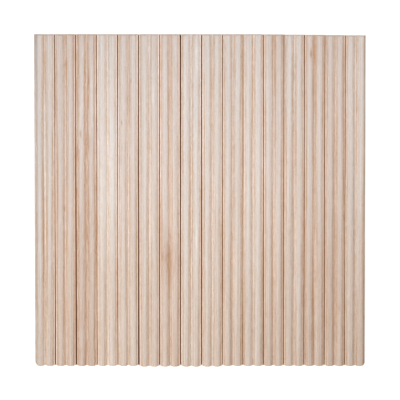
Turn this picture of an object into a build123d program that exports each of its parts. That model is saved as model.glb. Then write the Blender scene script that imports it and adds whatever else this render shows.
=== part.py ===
from build123d import *
from math import cos, radians, sin
import os

# Tambour wall panel: reeded hardwood slats laid side by side and glued to one canvas sheet.
# It lies on its canvas, face up. X runs across the slats, Y along them from foot to head, Z up.
# The origin is on the underside, in the middle of the panel. All sizes are in millimetres.

# Slats
slat_count = 16
slat_length = 610.0
slat_thickness = 9.5

# Reeds: each round crown runs into the hollow beside it with no edge between them
reeds_per_slat = 2
crown_radius = 8.3
hollow_radius = 2.5
flank_slope = 55.0

# Flat left along each edge of a slat: the first slats are planed wider than the rest
wide_land = 0.45
narrow_land = 0.1
wide_slats = 9

# Joints between neighbouring slats, which are laid by hand, so that some stand open more than others
joint_width = 1.1
wide_joint_width = 1.6
wide_joints = (2, 5, 7, 8)

# Uneven ends: most feet stop short of the longest slats, and the head runs out of square on the right
foot_step = 1.1
long_slats = (6, 7, 8, 9)
head_runout = 0.4
runout_slats = 5

# Worn corners at the foot of the first and of the last slat
left_foot_radius = 8.0
right_foot_radius = 5.0

# Canvas, trimmed a little inside the ends and edges of the slats
canvas_thickness = 0.9
canvas_inset = 0.8

# Derived sizes
reed_pitch = 2 * (crown_radius + hollow_radius) * sin(radians(flank_slope))
reed_relief = (crown_radius + hollow_radius) * (1 - cos(radians(flank_slope)))
hollow_floor = slat_thickness - reed_relief
blank_width = reeds_per_slat * reed_pitch + 2 * wide_land
foot_line = -slat_length / 2
head_line = slat_length / 2


def slat_width(number):
    """Width that a slat is planed to."""
    land = wide_land if number <= wide_slats else narrow_land
    return reeds_per_slat * reed_pitch + 2 * land


def slat_section():
    """Section of the blank: flat back, square edges, and a wave of crowns and hollows on its face."""
    edge = blank_width / 2
    flank_reach = crown_radius * sin(radians(flank_slope))
    flank_height = slat_thickness - crown_radius * (1 - cos(radians(flank_slope)))
    with BuildSketch() as section:
        with BuildLine():
            Polyline((wide_land - edge, hollow_floor), (-edge, hollow_floor), (-edge, 0), (edge, 0),
                     (edge, hollow_floor), (edge - wide_land, hollow_floor))
            for reed in range(reeds_per_slat):
                crown = (reed - (reeds_per_slat - 1) / 2) * reed_pitch
                left_flank = (crown - flank_reach, flank_height)
                right_flank = (crown + flank_reach, flank_height)
                RadiusArc((crown - reed_pitch / 2, hollow_floor), left_flank, -hollow_radius)
                ThreePointArc(left_flank, (crown, slat_thickness), right_flank)
                RadiusArc(right_flank, (crown + reed_pitch / 2, hollow_floor), -hollow_radius)
        make_face()
    return section.sketch


def slat_outline(number):
    """Outline of a slat seen from above, about its own centre line, with its worn foot corner."""
    foot = foot_line if number in long_slats else foot_line + foot_step
    head = head_line - head_runout * max(0, number - (slat_count - runout_slats))
    outline = Pos(0, (foot + head) / 2) * Rectangle(slat_width(number), head - foot)
    foot_corners = outline.vertices().group_by(Axis.Y)[0].sort_by(Axis.X)
    if number == 1:
        outline = fillet(foot_corners[0], left_foot_radius)
    if number == slat_count:
        outline = fillet(foot_corners[-1], right_foot_radius)
    return outline


def slat_centres():
    """Centre line of every slat, with the row spread evenly about the origin, and the row's width."""
    centres = []
    reach = 0.0
    for number in range(1, slat_count + 1):
        if number > 1:
            reach += wide_joint_width if number - 1 in wide_joints else joint_width
        centres.append(reach + slat_width(number) / 2)
        reach += slat_width(number)
    return [centre - reach / 2 for centre in centres], reach


def canvas_sheet(row_width):
    """Canvas sheet across the whole row, cut along the shorter feet and the run-out of the heads."""
    edge = row_width / 2 - canvas_inset
    foot = foot_line + foot_step + canvas_inset
    head = head_line - canvas_inset
    runout_start = edge - runout_slats * (slat_width(slat_count) + joint_width)
    low_head = head - head_runout * runout_slats
    sheet = make_face(Polyline(
        (-edge, foot), (edge, foot), (edge, low_head), (runout_start, head), (-edge, head), close=True))
    foot_corners = sheet.vertices().group_by(Axis.Y)[0].sort_by(Axis.X)
    sheet = fillet(foot_corners[0], left_foot_radius - canvas_inset)
    sheet = fillet(sheet.vertices().group_by(Axis.Y)[0].sort_by(Axis.X)[-1], right_foot_radius - canvas_inset)
    return extrude(sheet, canvas_thickness)


os.makedirs("parts", exist_ok=True)

centres, row_width = slat_centres()
moulding = extrude(Plane.XZ * slat_section(), slat_length / 2, both=True)
for number, centre in enumerate(centres, 1):
    slat = moulding & extrude(slat_outline(number), slat_thickness)
    export_step(Pos(centre, 0, canvas_thickness) * slat, f"parts/slat_{number:02d}.step")

export_step(canvas_sheet(row_width), "parts/canvas_backing.step")
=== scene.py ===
from collections import namedtuple
from math import cos, pi, radians, sin

import bpy
from bpy.props import FloatProperty, FloatVectorProperty, IntProperty, PointerProperty
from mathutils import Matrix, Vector


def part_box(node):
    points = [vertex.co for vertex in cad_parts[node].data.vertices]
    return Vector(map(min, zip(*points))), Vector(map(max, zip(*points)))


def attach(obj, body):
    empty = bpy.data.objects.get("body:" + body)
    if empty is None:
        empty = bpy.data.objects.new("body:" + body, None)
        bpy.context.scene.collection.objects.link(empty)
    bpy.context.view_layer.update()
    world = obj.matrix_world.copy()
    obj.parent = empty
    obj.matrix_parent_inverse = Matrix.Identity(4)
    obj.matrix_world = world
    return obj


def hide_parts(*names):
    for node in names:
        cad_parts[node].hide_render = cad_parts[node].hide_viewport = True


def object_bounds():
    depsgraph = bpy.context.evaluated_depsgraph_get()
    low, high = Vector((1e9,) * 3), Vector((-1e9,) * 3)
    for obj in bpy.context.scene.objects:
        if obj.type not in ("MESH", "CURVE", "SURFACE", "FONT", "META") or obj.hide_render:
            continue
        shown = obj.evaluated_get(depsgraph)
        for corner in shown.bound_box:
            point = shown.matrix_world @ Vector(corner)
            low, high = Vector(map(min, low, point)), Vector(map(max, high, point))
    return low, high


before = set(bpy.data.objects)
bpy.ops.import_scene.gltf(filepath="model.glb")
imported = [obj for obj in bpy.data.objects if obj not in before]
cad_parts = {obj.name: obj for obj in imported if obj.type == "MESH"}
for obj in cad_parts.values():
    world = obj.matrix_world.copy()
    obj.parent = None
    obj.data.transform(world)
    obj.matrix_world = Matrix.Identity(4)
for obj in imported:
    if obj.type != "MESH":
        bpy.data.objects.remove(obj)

bl_info = {
    "name": "Tambour Wall Panel",
    "version": (1, 0, 0),
    "blender": (4, 5, 0),
    "location": "3D Viewport > Sidebar > Tambour",
    "description": "Dresses a tambour wall panel: reeded hardwood slats on a canvas backing",
    "category": "Object",
}

CAD_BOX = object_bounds()
SLAT_NODES = sorted(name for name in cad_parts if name.startswith("slat_"))
CANVAS_NODE = "canvas_backing"
BODY = "root"
PANEL_WIDTH = CAD_BOX[1].x - CAD_BOX[0].x
MILLIMETRE = 0.001

# Timber of the slats from left to right: shade from cream to tan, blush from grey to peach, and figure,
# which is how strongly the growth rings show.
TIMBERS = (
    (0.37, 0.08, 0.3), (0.59, 0.51, 0.4), (0.82, 0.65, 1.8), (0.00, 0.20, 0.3),
    (0.33, 0.25, 0.3), (0.31, 0.25, 0.3), (0.23, 0.60, 0.5), (0.18, 0.06, 0.3),
    (0.24, 0.24, 0.3), (0.32, 0.35, 0.3), (0.26, 0.20, 0.3), (0.54, 0.55, 0.5),
    (0.27, 0.28, 0.3), (0.61, 0.62, 0.5), (0.67, 0.66, 0.6), (0.42, 0.18, 0.4),
)
# Dirt and painted shade in the joints from left to right, at the head and at the foot.
JOINT_DIRT_AND_SHADE = (
    (0.25, 1.05), (0.02, 1.50), (0.20, 0.65), (0.80, 0.35), (0.05, 1.65),
    (0.00, 1.30), (1.50, 0.30), (0.60, 0.60), (0.55, 0.15), (0.45, 0.45),
    (0.10, 1.20), (0.55, 0.22), (0.40, 0.75), (0.25, 0.35), (0.15, 0.30),
)
# Marks in the grain, by slat number: distance right of the slat's middle and up from the panel's foot, half
# width and half length, all in millimetres, and strength, which is below zero for a pale mark.
MARKS = {
    1: ((13.8, 417, 1.3, 9, 0.4),),
    2: ((1.2, 558, 2.9, 9, 0.4), (-1.1, 292, 1.4, 6, 0.6)),
    3: ((17.0, 328, 1.4, 5, 0.8), (4.8, 527, 1.4, 15, 0.5), (-10.6, 430, 1.3, 8, 0.5),
        (-0.3, 413, 1.6, 18, 0.5), (-0.3, 343, 1.4, 9, 0.5), (3.5, 283, 2.1, 26, 0.4),
        (2.6, 235, 2.3, 17, 0.5), (-5.6, 580, 1.8, 15, -0.42), (-7.0, 500, 2.2, 60, -0.42),
        (9.0, 520, 2.0, 45, -0.38), (10.5, 455, 1.6, 40, -0.34)),
    4: ((-8.8, 340, 5.0, 150, -0.36), (8.8, 340, 5.0, 150, -0.36)),
    5: ((5.5, 527, 1.3, 4, 0.5), (-11.5, 450, 1.4, 4, 0.45), (0.0, 507, 2.3, 74, 0.32),
        (-8.8, 55, 5.5, 75, -0.30), (8.8, 55, 5.5, 75, -0.30)),
    6: ((7.2, 500, 1.6, 22, -0.45),),
    7: ((-4.5, 200, 14.0, 42, 0.42), (-1.2, 214, 1.6, 6, 0.16), (-0.8, 192, 1.6, 6, 0.06),
        (-0.1, 169, 2.1, 5, 0.30), (-0.8, 150, 1.6, 9, 0.15), (15.9, 191, 1.3, 33, 0.5),
        (-14.0, 212, 2.4, 20, 0.15)),
    8: ((9.9, 240, 2.2, 48, -0.8), (9.9, 566, 2.1, 24, -0.9), (0.4, 231, 1.3, 6, 0.4),
        (-0.3, 213, 1.3, 6, 0.4)),
    11: ((-8.8, 350, 5.0, 130, -0.16), (8.8, 350, 5.0, 130, -0.16)),
    12: ((2.2, 543, 1.4, 37, 0.25),),
    13: ((-1.6, 534, 1.3, 11, 0.4),),
    14: ((-6.5, 576, 3.0, 8, 0.5), (-2.2, 510, 1.4, 15, 0.35), (-6.5, 58, 3.6, 15, 0.25)),
    15: ((8.2, 109, 2.7, 9, 0.25),),
    16: ((-2.6, 128, 1.3, 9, 0.4), (2.3, 474, 2.7, 9, 0.2)),
}
MARK_SLOTS = max(len(marks) for marks in MARKS.values())
NO_MARK = (0, 0, 1, 1, 0)
NO_JOINT = (0.0, 0.0, 0.0)


class Draft:
    """Adds nodes to one tree and wires them, so that a formula reads in order."""

    def __init__(self, tree):
        self.tree = tree

    def feed(self, socket, value):
        """Links a socket to another, or gives it a plain value."""
        if isinstance(value, bpy.types.NodeSocket):
            self.tree.links.new(value, socket)
        else:
            socket.default_value = value

    def add(self, kind, inputs=None, **settings):
        """A new node with its settings and inputs."""
        node = self.tree.nodes.new(kind)
        for name, value in settings.items():
            setattr(node, name, value)
        for name, value in (inputs or {}).items():
            self.feed(node.inputs[name], value)
        return node

    def math(self, operation, *values):
        """Result of one arithmetic step."""
        node = self.add("ShaderNodeMath", operation=operation)
        for socket, value in zip(node.inputs, values):
            self.feed(socket, value)
        return node.outputs[0]

    def total(self, *values):
        """Sum of several values."""
        result = values[0]
        for value in values[1:]:
            result = self.math("ADD", result, value)
        return result

    def product(self, *values):
        """Several values multiplied."""
        result = values[0]
        for value in values[1:]:
            result = self.math("MULTIPLY", result, value)
        return result

    def less(self, whole, part):
        """The whole without the part."""
        return self.math("SUBTRACT", whole, part)

    def ratio(self, top, bottom):
        """One value over another."""
        return self.math("DIVIDE", top, bottom)

    def at_least(self, value, limit):
        """The value, kept from going below a limit."""
        return self.math("MAXIMUM", value, limit)

    def clamp(self, value):
        """The value, kept between 0 and 1."""
        return self.add("ShaderNodeClamp", {"Value": value}).outputs[0]

    def span(self, value, low, high, start=0.0, end=1.0):
        """Smooth step that takes the range low to high to the range start to end."""
        node = self.add("ShaderNodeMapRange", interpolation_type="SMOOTHSTEP")
        for name, given in zip(("Value", "From Min", "From Max", "To Min", "To Max"),
                               (value, low, high, start, end)):
            self.feed(node.inputs[name], given)
        return node.outputs["Result"]

    def fade(self, value, full, gone):
        """1 up to a full value, then a smooth fall to 0 where it is gone."""
        return self.span(value, full, gone, 1.0, 0.0)

    def choose(self, switch, low, high):
        """Low where the switch is 0, high where it is 1."""
        node = self.add("ShaderNodeMix", data_type="FLOAT")
        for index, value in zip((0, 2, 3), (switch, low, high)):
            self.feed(node.inputs[index], value)
        return node.outputs[0]

    def blend(self, share, under, over, mode="MIX"):
        """Colour over laid on colour under by a share."""
        node = self.add("ShaderNodeMix", data_type="RGBA", blend_type=mode)
        for index, value in zip((0, 6, 7), (share, under, over)):
            self.feed(node.inputs[index], value)
        return node.outputs[2]

    def tint(self, share, colour, factor):
        """Colour multiplied by a factor for each channel, by a share."""
        return self.blend(share, colour, factor, "MULTIPLY")

    def vector(self, x, y, z):
        """Vector from its three parts."""
        return self.add("ShaderNodeCombineXYZ", {"X": x, "Y": y, "Z": z}).outputs[0]

    def parts(self, vector):
        """The three parts of a vector."""
        return self.add("ShaderNodeSeparateXYZ", {0: vector}).outputs[:3]

    def noise(self, place, cell, detail=2.0, roughness=0.5):
        """Soft noise from 0 to 1 whose blobs measure about cell, in metres along X, Y and Z."""
        scaled = self.add("ShaderNodeVectorMath", {0: place, 1: tuple(1 / size for size in cell)},
                          operation="MULTIPLY").outputs[0]
        node = self.add("ShaderNodeTexNoise", {"Vector": scaled, "Scale": 1.0, "Detail": detail,
                                               "Roughness": roughness})
        return node.outputs[0]

    def sway(self, noise, amount):
        """Noise made to swing about 0."""
        return self.product(self.less(noise, 0.5), amount)

    def read(self, name, output="Fac"):
        """A value stored on the mesh."""
        return self.add("ShaderNodeAttribute", attribute_name=name).outputs[output]


class SlatSettings(bpy.types.PropertyGroup):
    """Sizes of a reeded slat."""

    reeds: IntProperty(
        name="Reeds", description="Round reeds on the face of a slat", default=2, min=1)
    crown_radius: FloatProperty(
        name="Crown radius", description="Radius of the top of a reed",
        default=0.0083, unit="LENGTH", precision=4)
    hollow_radius: FloatProperty(
        name="Hollow radius", description="Radius of the hollow between two reeds",
        default=0.0025, unit="LENGTH", precision=4)
    flank_slope: FloatProperty(
        name="Flank slope", description="Steepest slope of a reed, where its crown meets the hollow",
        default=radians(55.0), subtype="ANGLE")
    arris: FloatProperty(
        name="Arris", description="Radius of the sanded edge at both ends",
        default=0.0006, unit="LENGTH", precision=4)
    left_foot_radius: FloatProperty(
        name="Left foot radius", description="Worn corner at the foot of the first slat",
        default=0.008, unit="LENGTH", precision=4)
    right_foot_radius: FloatProperty(
        name="Right foot radius", description="Worn corner at the foot of the last slat",
        default=0.005, unit="LENGTH", precision=4)
    foot_scallop: FloatProperty(
        name="Foot scallop", description="How far the feet of the hollows stand back from the crowns",
        default=0.0009, unit="LENGTH", precision=4)
    wander: FloatProperty(
        name="Wander", description="How far a slat bows out of line along its length",
        default=0.00015, unit="LENGTH", precision=5)
    steps_across: IntProperty(
        name="Steps across", description="Faces across one reed, an even number", default=20, min=4)
    steps_along: IntProperty(
        name="Steps along", description="Faces along a slat", default=100, min=12)


class WoodSettings(bpy.types.PropertyGroup):
    """Colours and grain of the slats."""

    cream: FloatVectorProperty(
        name="Cream", description="Palest sapwood", subtype="COLOR", default=(0.765, 0.687, 0.630))
    tan: FloatVectorProperty(
        name="Tan", description="Darkest ordinary wood", subtype="COLOR", default=(0.615, 0.482, 0.395))
    peach: FloatVectorProperty(
        name="Peach", description="Warm streaks", subtype="COLOR", default=(0.695, 0.537, 0.445))
    # Colour of the greyer crowns: partly rubbed wood, partly a painted sheen.
    rubbed_and_sheen: FloatVectorProperty(
        name="Rubbed", description="Greyer wood on the crowns of the reeds", subtype="COLOR",
        default=(0.760, 0.728, 0.724))
    brown: FloatVectorProperty(
        name="Brown", description="Growth rings, flecks and dark marks", subtype="COLOR",
        default=(0.50, 0.27, 0.155))
    bleached: FloatVectorProperty(
        name="Bleached", description="Pale marks", subtype="COLOR", default=(0.89, 0.87, 0.845))
    # Colours of a joint's sides: dirt and glue, and painted shade in the gap.
    joint: FloatVectorProperty(
        name="Joint", description="Light dirt and glue on the sides of a joint", subtype="COLOR",
        default=(0.37, 0.135, 0.040))
    gap: FloatVectorProperty(
        name="Gap", description="Dark dirt on the sides of an open joint", subtype="COLOR",
        default=(0.115, 0.036, 0.011))
    ring_width: FloatProperty(
        name="Ring width", description="Distance from one growth ring to the next",
        default=0.0028, unit="LENGTH", precision=4)


class CanvasSettings(bpy.types.PropertyGroup):
    """Weave and colours of the backing."""

    thread: FloatProperty(
        name="Thread", description="Distance from one thread to the next",
        default=0.0011, unit="LENGTH", precision=4)
    cotton: FloatVectorProperty(
        name="Cotton", description="Unbleached cotton", subtype="COLOR", default=(0.66, 0.58, 0.45))
    glue: FloatVectorProperty(
        name="Glue", description="Cotton that glue has soaked through", subtype="COLOR",
        default=(0.50, 0.40, 0.26))
    # Colour of the side towards the slats: glue, and painted shade in the joints.
    glue_and_shade_line: FloatVectorProperty(
        name="Glue line", description="Glue on the side of the slats", subtype="COLOR",
        default=(0.36, 0.13, 0.05))


class StageSettings(bpy.types.PropertyGroup):
    """Camera and lights."""

    tilt: FloatProperty(
        name="Tilt", description="Lean of the view from straight down towards the head of the panel",
        default=radians(12.4), subtype="ANGLE")
    lens: FloatProperty(
        name="Lens", description="Focal length in millimetres", default=1000.0)
    key_power: FloatProperty(
        name="Key power", description="Power of the soft light over the head, in watts", default=1.70)
    side_power: FloatProperty(
        name="Side power", description="Power of the soft light on the left, in watts", default=2.12)
    near_power: FloatProperty(
        name="Near power", description="Power of the low light near the left edge, in watts", default=0.54)
    fill_power: FloatProperty(
        name="Fill power", description="Power of the soft light on the right, in watts", default=2.30)
    room_light: FloatProperty(
        name="Room light", description="Strength of the light from all round", default=0.45)


def plain_mesh(piece):
    """Turns what the modifiers of a piece make into its own mesh."""
    graph = bpy.context.evaluated_depsgraph_get()
    mesh = bpy.data.meshes.new_from_object(piece.evaluated_get(graph))
    piece.modifiers.clear()
    piece.data = mesh
    mesh.name = piece.name


def new_piece(name, mesh):
    """A piece at the origin, linked to the scene."""
    piece = bpy.data.objects.new(name, mesh)
    bpy.context.scene.collection.objects.link(piece)
    return piece


def hand_in(piece, node):
    """Puts a finished piece in the place of its solid."""
    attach(piece, BODY)
    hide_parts(node)


# Inputs of the slat tree: name and kind of socket.
SLAT_INPUTS = (
    *((name, "Float") for name in (
        "Centre", "Foot", "Head", "Back", "Thickness", "Reed Pitch", "Crown Radius", "Hollow Radius",
        "Flank Slope", "Edge Land", "Arris", "Left Foot Radius", "Right Foot Radius", "Foot Scallop",
        "Wander", "Seed", "Shade", "Blush", "Figure")),
    *((name, "Int") for name in ("Reeds", "Steps Across", "Steps Along")),
    *((name, "Vector") for name in ("Left Dirt", "Right Dirt")),
    *((f"Mark {slot}", "Vector") for slot in range(MARK_SLOTS)),
    *((f"Mark Size {slot}", "Vector") for slot in range(MARK_SLOTS)),
    ("Wood", "Material"),
)
# Rows of faces on the sanded arris at each end, and how much closer they lie towards the end.
END_ROWS = 4
END_CROWDING = 1.6
WALL_STEPS = 3
# Columns of points past the reeds' own: one at each edge land and one to close the row.
LAND_COLUMNS = 3
# Bows in a metre of slat, and the step from one slat's bow to the next one's.
BOW_RATE = 4.0
BOW_STEP = 7.3
CRISP_ANGLE = radians(50)
# Place of the log's pith under a slat: how it leans and dives along the slat, how far it lies to the side,
# and the least depth and the spread of depths.
PITH_LEAN = 0.06
PITH_DIVE = 0.05
PITH_SPREAD = 0.10
PITH_DEPTH = 0.02
PITH_DEPTH_SPREAD = 0.06
CHANCE_STEP = 0.37
# Distance between two slats in the log, across and along, so that no two have the same grain.
LOG_STEP = (0.31, 1.7)

Section = namedtuple("Section", "x drop relief half_width side from_hollow")


def reed_section(draft, given, unit_x, across):
    """Where each column of the block lies on the wave of crowns and hollows."""
    pitch, slope = given["Reed Pitch"], given["Flank Slope"]
    crown, hollow = given["Crown Radius"], given["Hollow Radius"]

    def fall(turn):
        return draft.less(1.0, draft.math("COSINE", turn))

    # Column counted from the middle of the slat in reeds; the outermost column is the edge land.
    half_reeds = draft.product(given["Reeds"], 0.5)
    step = draft.ratio(1.0, given["Steps Across"])
    column = draft.product(unit_x, draft.product(step, draft.less(across, 1)))
    side = draft.math("SIGN", column)
    off_middle = draft.math("ABSOLUTE", column)
    reach = draft.math("MINIMUM", off_middle, half_reeds)
    on_land = draft.math("GREATER_THAN", off_middle, draft.total(half_reeds, draft.product(step, 0.5)))

    # Length along the reed's own arc, from its crown out to the floor of the hollow.
    shifted = draft.total(draft.product(side, reach), half_reeds)
    reed_number = draft.math("MINIMUM", draft.math("FLOOR", shifted), draft.less(given["Reeds"], 1))
    in_reed = draft.less(draft.less(shifted, reed_number), 0.5)
    in_side = draft.math("SIGN", in_reed)
    radii = draft.total(crown, hollow)
    whole_arc = draft.product(radii, slope)
    arc = draft.product(draft.math("ABSOLUTE", in_reed), 2.0, whole_arc)
    in_hollow = draft.math("GREATER_THAN", arc, draft.product(crown, slope))

    # Point on the crown's arc or on the hollow's, measured from the middle of the reed.
    crown_turn = draft.ratio(arc, crown)
    hollow_turn = draft.ratio(draft.less(whole_arc, arc), hollow)
    half_pitch = draft.product(pitch, 0.5)
    crown_x = draft.product(crown, draft.math("SINE", crown_turn))
    hollow_x = draft.less(half_pitch, draft.product(hollow, draft.math("SINE", hollow_turn)))
    out = draft.choose(in_hollow, crown_x, hollow_x)
    relief = draft.product(radii, fall(slope))
    crown_drop = draft.product(crown, fall(crown_turn))
    hollow_drop = draft.less(relief, draft.product(hollow, fall(hollow_turn)))
    reed_middle = draft.product(pitch, draft.less(draft.total(reed_number, 0.5), half_reeds))
    land = draft.product(side, on_land, given["Edge Land"])
    return Section(
        x=draft.total(reed_middle, draft.product(in_side, out), land),
        drop=draft.choose(in_hollow, crown_drop, hollow_drop),
        relief=relief,
        half_width=draft.total(draft.product(pitch, half_reeds), given["Edge Land"]),
        side=side,
        from_hollow=draft.product(in_side, draft.less(out, half_pitch)))


def slat_rows(draft, given, unit_y, section):
    """Where each row of the block lies along the slat, and how far the sanded arris lowers it."""

    def rounding(radius, distance):
        """How far a round corner falls away at a distance from its end."""
        short = draft.at_least(draft.less(radius, distance), 0.0)
        squares = draft.less(draft.product(radius, radius), draft.product(short, short))
        return draft.less(radius, draft.math("SQRT", draft.at_least(squares, 0.0)))

    # Foot line, with the worn corner of an end slat and the hollows set back.
    foot = draft.total(
        given["Foot"],
        rounding(given["Left Foot Radius"], draft.total(section.half_width, section.x)),
        rounding(given["Right Foot Radius"], draft.less(section.half_width, section.x)),
        draft.product(given["Foot Scallop"], draft.ratio(section.drop, section.relief)))

    # Rows are set close together near both ends.
    half_length = draft.product(draft.less(given["Head"], foot), 0.5)
    row = draft.product(draft.total(unit_y, 0.5), given["Steps Along"])
    from_head = draft.less(given["Steps Along"], row)
    near = draft.math("MINIMUM", row, from_head)
    end_share = draft.ratio(draft.math("MINIMUM", near, END_ROWS), END_ROWS)
    stride = draft.ratio(draft.less(half_length, given["Arris"]),
                         draft.less(draft.product(given["Steps Along"], 0.5), END_ROWS))
    from_end = draft.total(
        draft.product(given["Arris"], draft.math("POWER", end_share, END_CROWDING)),
        draft.product(stride, draft.at_least(draft.less(near, END_ROWS), 0.0)))
    in_head_half = draft.math("LESS_THAN", from_head, row)
    along = draft.choose(in_head_half, draft.total(foot, from_end), draft.less(given["Head"], from_end))
    return along, rounding(given["Arris"], from_end)


def edge_values(draft, given, unit_y, section):
    """What the edges read: distances from the edge and the hollow, and the joint that the edge faces."""
    on_right = draft.math("GREATER_THAN", section.side, 0.0)
    dirt_head, dirt_foot, open_side = (
        draft.choose(on_right, left, right)
        for left, right in zip(draft.parts(given["Left Dirt"]), draft.parts(given["Right Dirt"])))
    return (
        ("from_edge", draft.less(section.half_width, draft.math("ABSOLUTE", section.x)), "FLOAT"),
        ("from_hollow", section.from_hollow, "FLOAT"),
        ("open_side", open_side, "FLOAT"),
        ("dirt", draft.choose(draft.total(unit_y, 0.5), dirt_foot, dirt_head), "FLOAT"),
    )


def grain_values(draft, given, section):
    """What the wood reads: its place in the log, how far the pith is, the slat's tone and its marks."""
    chance = [draft.add("ShaderNodeTexWhiteNoise", {"W": draft.total(given["Seed"], CHANCE_STEP * part)},
                        noise_dimensions="1D").outputs[0] for part in range(4)]
    x, y, z = draft.parts(draft.add("GeometryNodeInputPosition").outputs[0])
    local_x = draft.less(x, given["Centre"])
    lean, dive = draft.sway(chance[0], PITH_LEAN), draft.sway(chance[1], PITH_DIVE)
    pith_x = draft.total(draft.sway(chance[2], PITH_SPREAD), draft.product(lean, y))
    pith_z = draft.less(draft.product(dive, y),
                        draft.total(PITH_DEPTH, draft.product(chance[3], PITH_DEPTH_SPREAD)))
    ring_x, ring_z = draft.less(local_x, pith_x), draft.less(z, pith_z)
    from_pith = draft.math("SQRT", draft.total(draft.product(ring_x, ring_x), draft.product(ring_z, ring_z)))
    place = draft.vector(draft.total(local_x, draft.product(given["Seed"], LOG_STEP[0])),
                         draft.total(y, draft.product(given["Seed"], LOG_STEP[1])), z)
    floor_z = draft.less(draft.total(given["Back"], given["Thickness"]), section.relief)
    values = [
        ("grain_place", place, "FLOAT_VECTOR"), ("from_pith", from_pith, "FLOAT"),
        ("crown", draft.ratio(draft.less(z, floor_z), section.relief), "FLOAT"),
        ("shade", given["Shade"], "FLOAT"), ("blush", given["Blush"], "FLOAT"),
        ("figure", given["Figure"], "FLOAT")]
    for slot in range(MARK_SLOTS):
        mark_x, mark_y, strength = draft.parts(given[f"Mark {slot}"])
        mark_width, mark_length, _ = draft.parts(given[f"Mark Size {slot}"])
        off_x = draft.ratio(draft.less(local_x, mark_x), mark_width)
        off_y = draft.ratio(draft.less(y, mark_y), mark_length)
        values.append((f"mark_{slot}", draft.vector(off_x, off_y, strength), "FLOAT_VECTOR"))
    return values


def keep(draft, geometry, values):
    """Stores named values on the points of a mesh."""
    for name, value, kind in values:
        node = draft.add("GeometryNodeStoreNamedAttribute", {"Geometry": geometry, "Name": name},
                         data_type=kind, domain="POINT")
        draft.feed(node.inputs["Value"], value)
        geometry = node.outputs[0]
    return geometry


def slat_tree():
    """Node tree that makes one slat: a closed block whose face is a wave of crowns and hollows."""
    tree = bpy.data.node_groups.new("Reeded Slat", "GeometryNodeTree")
    tree.is_modifier = True
    for name, kind in SLAT_INPUTS:
        tree.interface.new_socket(name, in_out="INPUT", socket_type=f"NodeSocket{kind}")
    tree.interface.new_socket("Slat", in_out="OUTPUT", socket_type="NodeSocketGeometry")
    draft = Draft(tree)
    given = draft.add("NodeGroupInput").outputs

    across = draft.total(draft.product(given["Reeds"], given["Steps Across"]), LAND_COLUMNS)
    block = draft.add("GeometryNodeMeshCube", {
        "Size": (1.0, 1.0, 1.0), "Vertices X": across, "Vertices Y": draft.total(given["Steps Along"], 1),
        "Vertices Z": WALL_STEPS + 1})
    unit_x, unit_y, unit_z = draft.parts(draft.add("GeometryNodeInputPosition").outputs[0])
    section = reed_section(draft, given, unit_x, across)
    along, eased = slat_rows(draft, given, unit_y, section)
    height = draft.less(draft.less(given["Thickness"], section.drop), eased)
    bow = draft.add("ShaderNodeTexNoise", {
        "W": draft.total(draft.product(along, BOW_RATE), draft.product(given["Seed"], BOW_STEP)),
        "Scale": 1.0, "Detail": 0.0}, noise_dimensions="1D").outputs[0]
    bowed = draft.sway(bow, draft.product(given["Wander"], 2.0))

    # What the edges read is kept before the block takes its shape, because it is worked out on the block.
    marked = keep(draft, block.outputs["Mesh"], edge_values(draft, given, unit_y, section))
    shaped = draft.add("GeometryNodeSetPosition", {"Geometry": marked, "Position": draft.vector(
        draft.total(given["Centre"], section.x, bowed), along,
        draft.total(given["Back"], draft.product(draft.total(unit_z, 0.5), height)))})
    smooth = draft.add("GeometryNodeSetShadeSmooth", {0: shaped.outputs[0]}, domain="FACE")
    edge_angle = draft.add("GeometryNodeInputMeshEdgeAngle").outputs[0]
    crisp = draft.add("GeometryNodeSetShadeSmooth", {
        0: smooth.outputs[0], "Selection": draft.math("GREATER_THAN", edge_angle, CRISP_ANGLE),
        "Shade Smooth": False}, domain="EDGE")
    grained = keep(draft, crisp.outputs[0], grain_values(draft, given, section))
    real = draft.add("GeometryNodeRealizeInstances", {0: grained})
    painted = draft.add("GeometryNodeSetMaterial", {0: real.outputs[0], "Material": given["Wood"]})
    draft.add("NodeGroupOutput", {0: painted.outputs[0]})
    return tree


# Raw wood and cotton reflect less than a varnished face.
RAW_GLOSS = 0.2


def new_material(name):
    """Empty material with a surface shader and its draft."""
    material = bpy.data.materials.new(name)
    material.use_nodes = True
    material.node_tree.nodes.clear()
    draft = Draft(material.node_tree)
    shader = draft.add("ShaderNodeBsdfPrincipled")
    draft.add("ShaderNodeOutputMaterial", {"Surface": shader.outputs[0]})
    return material, draft, shader


def finish_surface(draft, shader, colour, roughness, relief, strength):
    """Gives a raw surface its colour, its roughness and its fine relief."""
    bump = draft.add("ShaderNodeBump", {"Strength": strength, "Distance": 1.0, "Height": relief})
    draft.feed(shader.inputs["Base Color"], colour)
    draft.feed(shader.inputs["Roughness"], roughness)
    draft.feed(shader.inputs["Normal"], bump.outputs[0])
    shader.inputs["Specular IOR Level"].default_value = RAW_GLOSS


def opaque(colour):
    """Colour with a full alpha."""
    return (*colour, 1.0)


# Sizes of the grain's patterns in metres: across, along and into the slat.
WAVE_CELL = (0.014, 0.026, 0.020)
SHADE_CELL = (0.007, 0.45, 0.012)
BLUSH_CELL = (0.006, 0.35, 0.012)
FIBRE_CELL = (0.0008, 0.014, 0.0010)
FLECK_CELL = (0.0007, 0.006, 0.0010)
RING_DRIFT_CELL = (0.03, 0.16, 0.03)
RING_RIPPLE_CELL = (0.008, 0.045, 0.008)
RING_PATCH_CELL = (0.02, 0.20, 0.02)
RAGGED_CELL = (0.0025, 0.018, 0.004)
MOTTLE_CELL = (0.0030, 0.016, 0.004)
# Light and dark streaks, and warm ones, from long to short: the size of a streak and its strength.
VALUE_STREAKS = (
    ((0.0012, 0.32, 0.0030), 1.25), ((0.0012, 0.045, 0.0030), 0.30), ((0.0022, 0.0040, 0.0030), 0.24))
WARM_STREAKS = (
    ((0.0016, 0.26, 0.0040), 1.25), ((0.0014, 0.045, 0.0030), 0.85), ((0.0024, 0.0045, 0.0030), 0.30))
FIBRE_STRENGTH = 0.70
COOLEST_STREAK = -0.12
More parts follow.
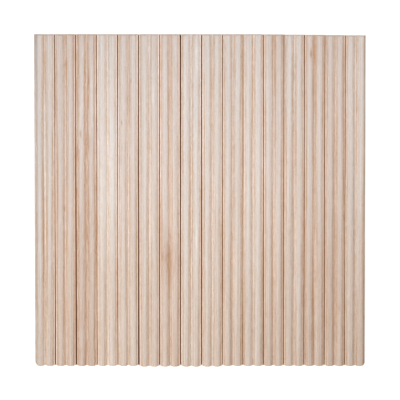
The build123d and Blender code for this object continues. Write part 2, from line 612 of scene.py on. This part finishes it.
# How far a light streak lifts each channel, and how far a warm streak lowers it.
STREAK_CHANNELS = (("Red", 0.75, 0.25), ("Green", 1.0, 0.72), ("Blue", 1.28, 1.15))
# Step from one reading of the log to another that has nothing to do with it.
OTHER_READING = (0.5, 0.3, 0.7)
# Figure up to which the grain runs straight, and the sway of the grain past it.
STRAIGHT_FIGURE = 0.3
WAVE_SWAY = 0.0045
RING_DRIFT = 0.010
RING_RIPPLE = 0.0022
RING_STRENGTH = 0.30
FLECK_STRENGTH = 0.14
# Knife ripples on the planed face, and the height of what can be felt.
KNIFE_STEP = 0.0016
KNIFE_HEIGHT = 0.0000015
FIBRE_HEIGHT = 0.00006
FLECK_DEPTH = 0.00004
# Tints that multiply the wood's colour, all painted light or shade: bounce light on the flanks, shade at the
# foot, highlights in the hollows and beside the joints, light and shade on the edges, and light on the ends.
FLANK_BOUNCE_TINT = (1.0, 0.968, 0.938, 1.0)
FOOT_WARM_SHADE = (0.97, 0.925, 0.87, 1.0)
HOLLOW_HIGHLIGHT_LEFT = (1.14, 1.18, 1.23, 1.0)
HOLLOW_HIGHLIGHT_RIGHT = (1.12, 1.14, 1.16, 1.0)
JOINT_EDGE_HIGHLIGHT = (1.21, 1.175, 1.13, 1.0)
RIGHT_EDGE_LIGHT = (1.12, 1.095, 1.09, 1.0)
RIGHT_EDGE_WARM_SHADE = (1.0, 0.965, 0.925, 1.0)
LEFT_OUTER_SHADE = (0.83, 0.87, 0.91, 1.0)
RIGHT_OUTER_LIGHT = (1.08, 1.065, 1.05, 1.0)
RIGHT_OUTER_SHADE = (0.76, 0.72, 0.68, 1.0)
END_FACE_LIGHT = (1.12, 1.11, 1.12, 1.0)


def log_readings(draft, figure):
    """Place in the log, waved where the figure is strong, and another place that is far from it."""
    straight = draft.read("grain_place", "Vector")
    wavy = draft.at_least(draft.less(figure, STRAIGHT_FIGURE), 0.0)
    wave = draft.product(wavy, draft.sway(draft.noise(straight, WAVE_CELL, detail=1.0), WAVE_SWAY))
    place = draft.add("ShaderNodeVectorMath", {0: straight, 1: draft.vector(wave, 0.0, 0.0)}).outputs[0]
    other = draft.add("ShaderNodeVectorMath", {0: place, 1: OTHER_READING}).outputs[0]
    return place, other


def slat_tone(draft, wood, place, other):
    """The slat's own tone from grey cream to tan and to peach, shifted by broad lengthwise bands."""
    shade = draft.total(draft.read("shade"), draft.sway(draft.noise(place, SHADE_CELL), 0.6))
    blush = draft.total(draft.read("blush"), draft.sway(draft.noise(other, BLUSH_CELL), 1.1))
    colour = draft.blend(draft.clamp(shade), opaque(wood.cream), opaque(wood.tan))
    return draft.blend(draft.product(draft.clamp(blush), 0.8), colour, opaque(wood.peach))


def streaked(draft, colour, place, other, fibre):
    """Fine streaks, long and short, that lighten and darken the wood or warm and cool it."""
    value = draft.total(draft.sway(fibre, FIBRE_STRENGTH), *(
        draft.sway(draft.noise(place, cell), strength) for cell, strength in VALUE_STREAKS))
    warmth = draft.at_least(draft.total(*(
        draft.sway(draft.noise(other, cell), strength) for cell, strength in WARM_STREAKS)), COOLEST_STREAK)
    streak = draft.add("ShaderNodeCombineColor", {
        name: draft.total(1.0, draft.product(value, light), draft.product(warmth, -warm))
        for name, light, warm in STREAK_CHANNELS}).outputs[0]
    return draft.tint(1.0, colour, streak)


def ringed(draft, wood, colour, place, figure):
    """Growth rings: a slow change of tone that ends in a thin brown line."""
    warp = draft.total(draft.product(draft.noise(place, RING_DRIFT_CELL, detail=1.0), RING_DRIFT),
                       draft.product(draft.noise(place, RING_RIPPLE_CELL), RING_RIPPLE))
    rings = draft.ratio(draft.total(draft.read("from_pith"), warp), wood.ring_width)
    phase = draft.math("FRACT", rings)
    late = draft.product(draft.span(phase, 0.25, 0.88), draft.fade(phase, 0.90, 1.0))
    patch = draft.span(draft.noise(place, RING_PATCH_CELL), 0.35, 0.75, 0.35, 1.0)
    return draft.blend(draft.product(late, patch, figure, RING_STRENGTH), colour, opaque(wood.brown))


def marked_grain(draft, wood, colour, place, other):
    """Dark and pale marks with ragged outlines."""
    ragged = draft.sway(draft.noise(place, RAGGED_CELL), 1.6)
    stains = []
    for slot in range(MARK_SLOTS):
        across, along, strength = draft.parts(draft.read(f"mark_{slot}", "Vector"))
        across = draft.total(across, ragged)
        spread = draft.total(draft.product(across, across), draft.product(along, along))
        stains.append(draft.product(strength, draft.math("EXPONENT", draft.product(spread, -1.0))))
    mottled = draft.span(draft.noise(other, MOTTLE_CELL), 0.3, 0.7, 0.45, 1.5)
    stain = draft.product(draft.total(*stains), mottled)
    colour = draft.blend(draft.clamp(stain), colour, opaque(wood.brown))
    return draft.blend(draft.clamp(draft.product(stain, -1.0)), colour, opaque(wood.bleached))


def face_painted_light(draft, colour, right, up, crown, from_hollow):
    """Painted light on the face: warm bounce light on the flanks, warmer shade towards the foot, and a pale
    highlight line in the hollows, most on their right.
    """
    # Painted warm bounce light on the flanks and in the hollows.
    bounce_share = draft.product(draft.span(crown, 0.0, 0.3, 0.3, 1.0), draft.fade(crown, 0.3, 0.9))
    colour = draft.tint(bounce_share, colour, FLANK_BOUNCE_TINT)
    # Painted warmer, darker shade towards the foot.
    colour = draft.tint(draft.fade(up, -0.3, 0.25), colour, FOOT_WARM_SHADE)
    # Painted highlight: a pale line just right of each hollow's floor, a little stronger in the left half of
    # the panel.
    hollow_highlight = draft.product(draft.fade(crown, 0.05, 0.40), draft.span(from_hollow, -0.0014, 0.0004),
                          draft.fade(from_hollow, 0.0010, 0.0032))
    hollow_highlight_tint = draft.blend(draft.span(right, -0.05, 0.05), HOLLOW_HIGHLIGHT_LEFT, HOLLOW_HIGHLIGHT_RIGHT)
    return draft.tint(hollow_highlight, colour, hollow_highlight_tint)


def edge_painted_light(draft, colour, right, from_edge, from_hollow, open_side):
    """Painted light and shade on the edges: highlights beside the joints, light and shade along the panel's
    outer edges, and light on the ends.
    """
    # Painted highlight along each edge beside a joint.
    joint_edge_highlight = draft.product(open_side, draft.fade(from_edge, 0.0, 0.0024))
    colour = draft.tint(joint_edge_highlight, colour, JOINT_EDGE_HIGHLIGHT)

    # Painted light and shade: a slat's right-hand edge is painted brighter in the left half of the panel and
    # warmer in the right half.
    right_edge_share = draft.product(open_side, draft.math("LESS_THAN", from_hollow, 0.0),
                               draft.fade(from_edge, 0.0018, 0.0034))
    light_by_half = draft.blend(draft.span(right, 0.02, 0.08), RIGHT_EDGE_LIGHT, RIGHT_EDGE_WARM_SHADE)
    colour = draft.tint(right_edge_share, colour, light_by_half)

    outer = draft.less(1.0, open_side)
    right_outer = draft.product(outer, draft.math("GREATER_THAN", right, 0.0))
    left_outer = draft.less(outer, right_outer)
    # Painted shade: the panel's left outer edge is painted darker and greyer.
    left_outer_shade_share = draft.product(left_outer, draft.fade(from_edge, 0.0035, 0.0085))
    colour = draft.tint(left_outer_shade_share, colour, LEFT_OUTER_SHADE)
    # Painted light and shade on the panel's right outer edge: a brighter band a little way in, and a darker
    # band at the edge.
    worn = draft.product(right_outer, draft.span(from_edge, 0.003, 0.0045),
                         draft.fade(from_edge, 0.0075, 0.010))
    colour = draft.tint(worn, colour, RIGHT_OUTER_LIGHT)
    right_outer_shade_share = draft.product(right_outer, draft.fade(from_edge, 0.0022, 0.0034))
    colour = draft.tint(right_outer_shade_share, colour, RIGHT_OUTER_SHADE)
    # Painted light: the end faces are painted brighter, so that they read as lit like the face.
    facing = draft.parts(draft.add("ShaderNodeNewGeometry").outputs["True Normal"])[1]
    return draft.tint(draft.math("GREATER_THAN", draft.math("ABSOLUTE", facing), 0.8), colour, END_FACE_LIGHT)


def joint_dirt_and_shade(draft, wood, from_edge, open_side):
    """Share and colour of the dirt and painted shade on a joint's sides, which reach further where there is
    more of them.
    """
    dirt = draft.read("dirt")
    reach = draft.ratio(from_edge, draft.total(0.35, dirt))
    dirt_and_shade = draft.product(open_side, draft.span(reach, 0.00016, 0.00052, 0.92, 0.0))
    return dirt_and_shade, draft.blend(draft.span(dirt, 0.4, 1.3), opaque(wood.joint), opaque(wood.gap))


def sanded_hardwood(wood):
    """Pale close-grained wood: streaks, growth rings, short flecks and marks, with a painted sheen, bounce
    light, highlights and shade on the face and edges, and joints darkened by dirt and painted shade.
    """
    material, draft, shader = new_material("sanded_hardwood")
    right, up, _ = draft.parts(draft.add("ShaderNodeTexCoord").outputs["Object"])
    figure, crown, from_edge, from_hollow, open_side = (
        draft.read(name) for name in ("figure", "crown", "from_edge", "from_hollow", "open_side"))
    place, other = log_readings(draft, figure)
    fibre = draft.noise(place, FIBRE_CELL)
    flecks = draft.span(draft.noise(place, FLECK_CELL, detail=0.0), 0.66, 0.76)

    colour = slat_tone(draft, wood, place, other)
    colour = streaked(draft, colour, place, other, fibre)
    colour = ringed(draft, wood, colour, place, figure)
    # Crowns are painted greyer: partly rubbed wood, partly a painted sheen, most towards the head.
    rubbed_and_sheen = draft.product(draft.span(crown, 0.55, 1.0), draft.span(up, -0.3, 0.1, 0.40, 0.56))
    colour = draft.blend(rubbed_and_sheen, colour, opaque(wood.rubbed_and_sheen))
    colour = draft.blend(draft.product(flecks, FLECK_STRENGTH), colour, opaque(wood.brown))
    colour = marked_grain(draft, wood, colour, place, other)
    colour = face_painted_light(draft, colour, right, up, crown, from_hollow)
    colour = edge_painted_light(draft, colour, right, from_edge, from_hollow, open_side)
    # Joints darkened by dirt and painted shade.
    dirt_and_shade, dirt_and_shade_colour = joint_dirt_and_shade(draft, wood, from_edge, open_side)
    colour = draft.blend(dirt_and_shade, colour, dirt_and_shade_colour)

    roughness = draft.choose(dirt_and_shade, draft.span(fibre, 0.2, 0.8, 0.50, 0.62), 1.0)
    ripple = draft.math("SINE", draft.product(up, 2 * pi / KNIFE_STEP))
    relief = draft.total(draft.product(fibre, FIBRE_HEIGHT), draft.product(ripple, KNIFE_HEIGHT),
                         draft.product(flecks, -FLECK_DEPTH))
    finish_surface(draft, shader, colour, roughness, relief, 0.6)
    return material


# Sizes of the canvas's patterns in metres: thick places in its threads, and patches where glue came through.
SLUB_CELL = (0.0012, 0.05, 0.0012)
SOAK_CELL = (0.035, 0.12, 0.035)
THREAD_HEIGHT = 0.00025


def glued_canvas(canvas):
    """Plain-woven cotton, soaked through with glue in patches; the side towards the slats, seen only in the
    joints, is painted dark as glue and painted shade.
    """
    material, draft, shader = new_material("glued_canvas")
    coordinate = draft.add("ShaderNodeTexCoord").outputs["Object"]
    turns = [draft.product(part, pi / canvas.thread) for part in draft.parts(coordinate)[:2]]
    warp, weft = (draft.math("ABSOLUTE", draft.math("SINE", turn)) for turn in turns)
    check = draft.math("SIGN", draft.product(*(draft.math("COSINE", turn) for turn in turns)))
    thread = draft.choose(draft.total(draft.product(check, 0.5), 0.5), warp, weft)
    slub = draft.noise(coordinate, SLUB_CELL)
    soak = draft.span(draft.noise(coordinate, SOAK_CELL, detail=4.0, roughness=0.65), 0.50, 0.72)

    colour = draft.blend(draft.product(soak, 0.8), opaque(canvas.cotton), opaque(canvas.glue))
    # Painted shade: the side towards the slats, seen in the joints, is painted dark as glue and shade.
    facing = draft.parts(draft.add("ShaderNodeNewGeometry").outputs["True Normal"])[2]
    colour = draft.blend(draft.math("GREATER_THAN", facing, 0.5), colour, opaque(canvas.glue_and_shade_line))
    tone = draft.total(draft.product(thread, 0.30), draft.product(slub, 0.20), 0.62)
    colour = draft.tint(1.0, colour, draft.add("ShaderNodeCombineColor", {
        "Red": tone, "Green": tone, "Blue": tone}).outputs[0])
    roughness = draft.less(0.92, draft.product(soak, 0.35))
    finish_surface(draft, shader, colour, roughness, draft.product(thread, THREAD_HEIGHT), 0.8)
    return material


def slat_inputs(number, node, sizes, wood):
    """Inputs of the tree for one slat, by name."""
    low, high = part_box(node)
    pitch = 2 * (sizes.crown_radius + sizes.hollow_radius) * sin(sizes.flank_slope)
    is_first, is_last = number == 1, number == len(SLAT_NODES)
    values = {
        "Centre": (low.x + high.x) / 2, "Foot": low.y, "Head": high.y, "Back": low.z,
        "Thickness": high.z - low.z, "Reed Pitch": pitch,
        "Crown Radius": sizes.crown_radius, "Hollow Radius": sizes.hollow_radius,
        "Flank Slope": sizes.flank_slope,
        "Edge Land": (high.x - low.x - sizes.reeds * pitch) / 2, "Arris": sizes.arris,
        "Left Foot Radius": sizes.left_foot_radius if is_first else 0.0,
        "Right Foot Radius": sizes.right_foot_radius if is_last else 0.0,
        "Foot Scallop": sizes.foot_scallop, "Wander": sizes.wander, "Reeds": sizes.reeds,
        "Steps Across": sizes.steps_across, "Steps Along": sizes.steps_along,
        "Seed": float(number), "Wood": wood,
        "Left Dirt": NO_JOINT if is_first else (*JOINT_DIRT_AND_SHADE[number - 2], 1.0),
        "Right Dirt": NO_JOINT if is_last else (*JOINT_DIRT_AND_SHADE[number - 1], 1.0),
        **dict(zip(("Shade", "Blush", "Figure"), TIMBERS[number - 1])),
    }
    marks = MARKS.get(number, ())
    for slot in range(MARK_SLOTS):
        x, y, width, length, strength = marks[slot] if slot < len(marks) else NO_MARK
        values[f"Mark {slot}"] = (x * MILLIMETRE, CAD_BOX[0].y + y * MILLIMETRE, strength)
        values[f"Mark Size {slot}"] = (width * MILLIMETRE, length * MILLIMETRE, 0.0)
    return values


class LaySlats(bpy.types.Operator):
    """Make every reeded slat in the place of its solid"""

    bl_idname = "tambour.lay_slats"
    bl_label = "Lay Slats"

    def execute(self, context):
        tree = slat_tree()
        sockets = {item.name: item.identifier for item in tree.interface.items_tree}
        wood = sanded_hardwood(context.scene.tambour_wood)
        for number, node in enumerate(SLAT_NODES, 1):
            piece = new_piece(f"reeded_{node}", bpy.data.meshes.new(node))
            maker = piece.modifiers.new("Reeded Slat", "NODES")
            maker.node_group = tree
            for name, value in slat_inputs(number, node, context.scene.tambour_slat, wood).items():
                maker[sockets[name]] = value
            plain_mesh(piece)
            if not piece.data.polygons:
                raise RuntimeError(f"the tree made no faces for {node}")
            hand_in(piece, node)
        return {"FINISHED"}


# Faces across and along the canvas, and round each of its worn corners.
CANVAS_STEPS = (120, 40)
CORNER_STEPS = 6
# Difference in height of two heads that counts as running out.
RUNOUT_LEAST = 1e-5


def canvas_layer(sizes):
    """Points of one side of the canvas, by rows from foot to head, and the number of columns."""
    low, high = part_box(CANVAS_NODE)
    first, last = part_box(SLAT_NODES[0]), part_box(SLAT_NODES[-1])
    inset = low.x - first[0].x
    radii = (sizes.left_foot_radius - inset, sizes.right_foot_radius - inset)
    heads = [(box[0].x, box[1].y) for box in map(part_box, SLAT_NODES)]
    runout = next(left for left, head in heads if head < first[1].y - RUNOUT_LEAST)

    # Columns lie close together round the two worn corners.
    turns = [1 - cos(pi / 2 * k / CORNER_STEPS) for k in range(CORNER_STEPS)]
    start, stop = low.x + radii[0], high.x - radii[1]
    columns = [low.x + radii[0] * turn for turn in turns]
    columns += [start + (stop - start) * i / CANVAS_STEPS[0] for i in range(CANVAS_STEPS[0] + 1)]
    columns += [high.x - radii[1] * turn for turn in reversed(turns)]

    def foot_and_head(x):
        foot = low.y
        for radius, from_edge in zip(radii, (x - low.x, high.x - x)):
            short = max(0.0, radius - from_edge)
            foot += radius - (radius * radius - short * short) ** 0.5
        drop = max(0.0, (x - runout) / (last[1].x - runout)) * (first[1].y - last[1].y)
        return foot, high.y - drop

    ends = [foot_and_head(x) for x in columns]
    rows = CANVAS_STEPS[1]
    return [(x, foot + (head - foot) * j / rows) for j in range(rows + 1)
            for x, (foot, head) in zip(columns, ends)], len(columns)


def canvas_mesh(sizes):
    """Closed sheet between the two sides of the canvas."""
    low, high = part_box(CANVAS_NODE)
    side, width = canvas_layer(sizes)
    rows = CANVAS_STEPS[1]
    layer = len(side)
    points = [(x, y, level) for level in (low.z, high.z) for x, y in side]
    faces = []
    for j in range(rows):
        for i in range(width - 1):
            a = j * width + i
            d = a + width
            faces.append((a, d, d + 1, a + 1))
            faces.append((layer + a, layer + a + 1, layer + d + 1, layer + d))
    rim = list(range(width - 1))
    rim += [j * width + width - 1 for j in range(rows)]
    rim += [rows * width + i for i in range(width - 1, 0, -1)]
    rim += [j * width for j in range(rows, 0, -1)]
    for a, b in zip(rim, rim[1:] + rim[:1]):
        faces.append((a, b, layer + b, layer + a))
    mesh = bpy.data.meshes.new("woven_canvas")
    mesh.from_pydata(points, [], faces)
    mesh.validate()
    return mesh


class GlueCanvas(bpy.types.Operator):
    """Make the woven sheet behind the slats"""

    bl_idname = "tambour.glue_canvas"
    bl_label = "Glue Canvas"

    def execute(self, context):
        mesh = canvas_mesh(context.scene.tambour_slat)
        mesh.materials.append(glued_canvas(context.scene.tambour_canvas))
        piece = new_piece("woven_canvas", mesh)
        hand_in(piece, CANVAS_NODE)
        return {"FINISHED"}


# Floor: its width, how far it reaches under the canvas, its colour and how much the camera sees it lifted.
FLOOR_SIZE = 30.0
FLOOR_LAP = 0.004
FLOOR_COLOUR = (0.86, 0.86, 0.86, 1.0)
FLOOR_LIFT = 0.56
WHITE = (1.0, 1.0, 1.0, 1.0)
# Colours of the lights.
ROOM_COLOUR = (1.0, 0.94, 0.87, 1.0)
COOL_LIGHT = (0.95, 0.97, 1.0)
WARM_LIGHT = (1.0, 0.96, 0.92)
# Picture frame: the panel's width and the whole frame's width, in pixels of the photograph.
PANEL_PIXELS = 330.6
FRAME_PIXELS = 400
SENSOR_WIDTH = 36.0
# Point the camera looks at, from the middle of the panel.
AIM = Vector((0.0003, 0.0019, 0.0))


def floor_material():
    """Matt white that the camera sees lifted towards pure white, with the panel's shadow kept."""
    material, draft, shader = new_material("white_floor")
    material.node_tree.nodes.remove(shader)
    path = draft.add("ShaderNodeLightPath").outputs
    seen = draft.at_least(path["Is Camera Ray"], draft.at_least(
        path["Is Glossy Ray"], path["Is Transmission Ray"]))
    matt = draft.add("ShaderNodeBsdfDiffuse", {"Color": FLOOR_COLOUR})
    lift = draft.add("ShaderNodeEmission", {"Color": WHITE, "Strength": draft.product(seen, FLOOR_LIFT)})
    both = draft.add("ShaderNodeAddShader", {0: matt.outputs[0], 1: lift.outputs[0]})
    output = next(node for node in material.node_tree.nodes if node.type == "OUTPUT_MATERIAL")
    draft.feed(output.inputs["Surface"], both.outputs[0])
    return material


def stage_floor():
    """White floor, open under the canvas so that its back can be seen."""
    half = FLOOR_SIZE / 2
    low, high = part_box(CANVAS_NODE)
    rims = ((-half, -half, half, half),
            (low.x + FLOOR_LAP, low.y + FLOOR_LAP, high.x - FLOOR_LAP, high.y - FLOOR_LAP))
    points = [(x, y, 0.0) for left, near, right, far in rims
              for x, y in ((left, near), (right, near), (right, far), (left, far))]
    mesh = bpy.data.meshes.new("floor")
    mesh.from_pydata(points, [], [(k, (k + 1) % 4, 4 + (k + 1) % 4, 4 + k) for k in range(4)])
    mesh.materials.append(floor_material())
    floor = new_piece("floor", mesh)


def room_world(strength):
    """Warm light from all round, in a room that the camera sees as white."""
    world = bpy.data.worlds.new("white_room")
    world.use_nodes = True
    world.node_tree.nodes.clear()
    draft = Draft(world.node_tree)
    path = draft.add("ShaderNodeLightPath").outputs
    seen = draft.at_least(path["Is Camera Ray"], path["Is Transmission Ray"])
    back = draft.add("ShaderNodeBackground", {
        "Color": draft.blend(seen, ROOM_COLOUR, WHITE), "Strength": draft.choose(seen, strength, 1.0)})
    draft.add("ShaderNodeOutputWorld", {"Surface": back.outputs[0]})
    return world


def soft_light(name, place, target, size, power, colour=COOL_LIGHT, spread=pi):
    """Square soft light that looks at a point."""
    lamp = bpy.data.lights.new(name, "AREA")
    lamp.color = colour
    lamp.spread = spread
    lamp.shape = "SQUARE"
    lamp.size = size
    lamp.energy = power
    light = bpy.data.objects.new(name, lamp)
    light.location = place
    light.rotation_euler = (Vector(target) - Vector(place)).to_track_quat("-Z", "Y").to_euler()
    light.visible_camera = False
    bpy.context.scene.collection.objects.link(light)


def photo_camera(stage):
    """Camera that frames the panel as the photograph does, through a long lens."""
    lens = bpy.data.cameras.new("camera")
    lens.sensor_width = SENSOR_WIDTH
    lens.lens = stage.lens
    frame_width = PANEL_WIDTH * FRAME_PIXELS / PANEL_PIXELS
    distance = frame_width * stage.lens / SENSOR_WIDTH
    lens.clip_end = 2 * distance
    camera = bpy.data.objects.new("camera", lens)
    middle = (CAD_BOX[0] + CAD_BOX[1]) / 2
    camera.location = middle + AIM + distance * Vector((0.0, sin(stage.tilt), cos(stage.tilt)))
    camera.rotation_euler = (-stage.tilt, 0.0, 0.0)
    bpy.context.scene.collection.objects.link(camera)
    return camera


class SetStage(bpy.types.Operator):
    """Make the floor, the room light, the lamps and the camera"""

    bl_idname = "tambour.set_stage"
    bl_label = "Set Stage"

    def execute(self, context):
        stage = context.scene.tambour_stage
        stage_floor()
        context.scene.world = room_world(stage.room_light)
        soft_light("key_over_head", (-0.04, 0.11, 0.62), (-0.04, 0.06, 0.0), 0.55, stage.key_power)
        soft_light("side_left", (-1.1, -1.15, 0.9), (0.05, -0.32, 0.0), 0.6, stage.side_power,
                   colour=WARM_LIGHT, spread=radians(80))
        soft_light("near_left", (-0.7, 0.1, 0.4), (-0.2, 0.05, 0.0), 0.4, stage.near_power)
        soft_light("fill_right", (0.9, 0.35, 0.7), (0.2, 0.08, 0.0), 0.6, stage.fill_power)
        context.scene.camera = photo_camera(stage)
        context.scene.view_settings.view_transform = "Standard"
        return {"FINISHED"}


class TambourPanel(bpy.types.Panel):
    """Sidebar list of the panel's pieces and their settings"""

    bl_idname = "VIEW3D_PT_tambour"
    bl_label = "Tambour Wall Panel"
    bl_space_type = "VIEW_3D"
    bl_region_type = "UI"
    bl_category = "Tambour"

    def draw(self, context):
        for operator in OPERATORS:
            self.layout.operator(operator.bl_idname)
        for name in SETTINGS:
            group = getattr(context.scene, name)
            box = self.layout.box()
            for key in group.bl_rna.properties.keys():
                if key not in ("rna_type", "name"):
                    box.prop(group, key)


OPERATORS = (LaySlats, GlueCanvas, SetStage)
SETTINGS = {
    "tambour_slat": SlatSettings,
    "tambour_wood": WoodSettings,
    "tambour_canvas": CanvasSettings,
    "tambour_stage": StageSettings,
}


def register():
    for group in (*SETTINGS.values(), *OPERATORS, TambourPanel):
        bpy.utils.register_class(group)
    for name, group in SETTINGS.items():
        setattr(bpy.types.Scene, name, PointerProperty(type=group))


def unregister():
    for name in SETTINGS:
        delattr(bpy.types.Scene, name)
    for group in reversed((*SETTINGS.values(), *OPERATORS, TambourPanel)):
        bpy.utils.unregister_class(group)


def main():
    register()
    bpy.ops.tambour.lay_slats()
    bpy.ops.tambour.glue_canvas()
    bpy.ops.tambour.set_stage()


if __name__ == "__main__":
    main()
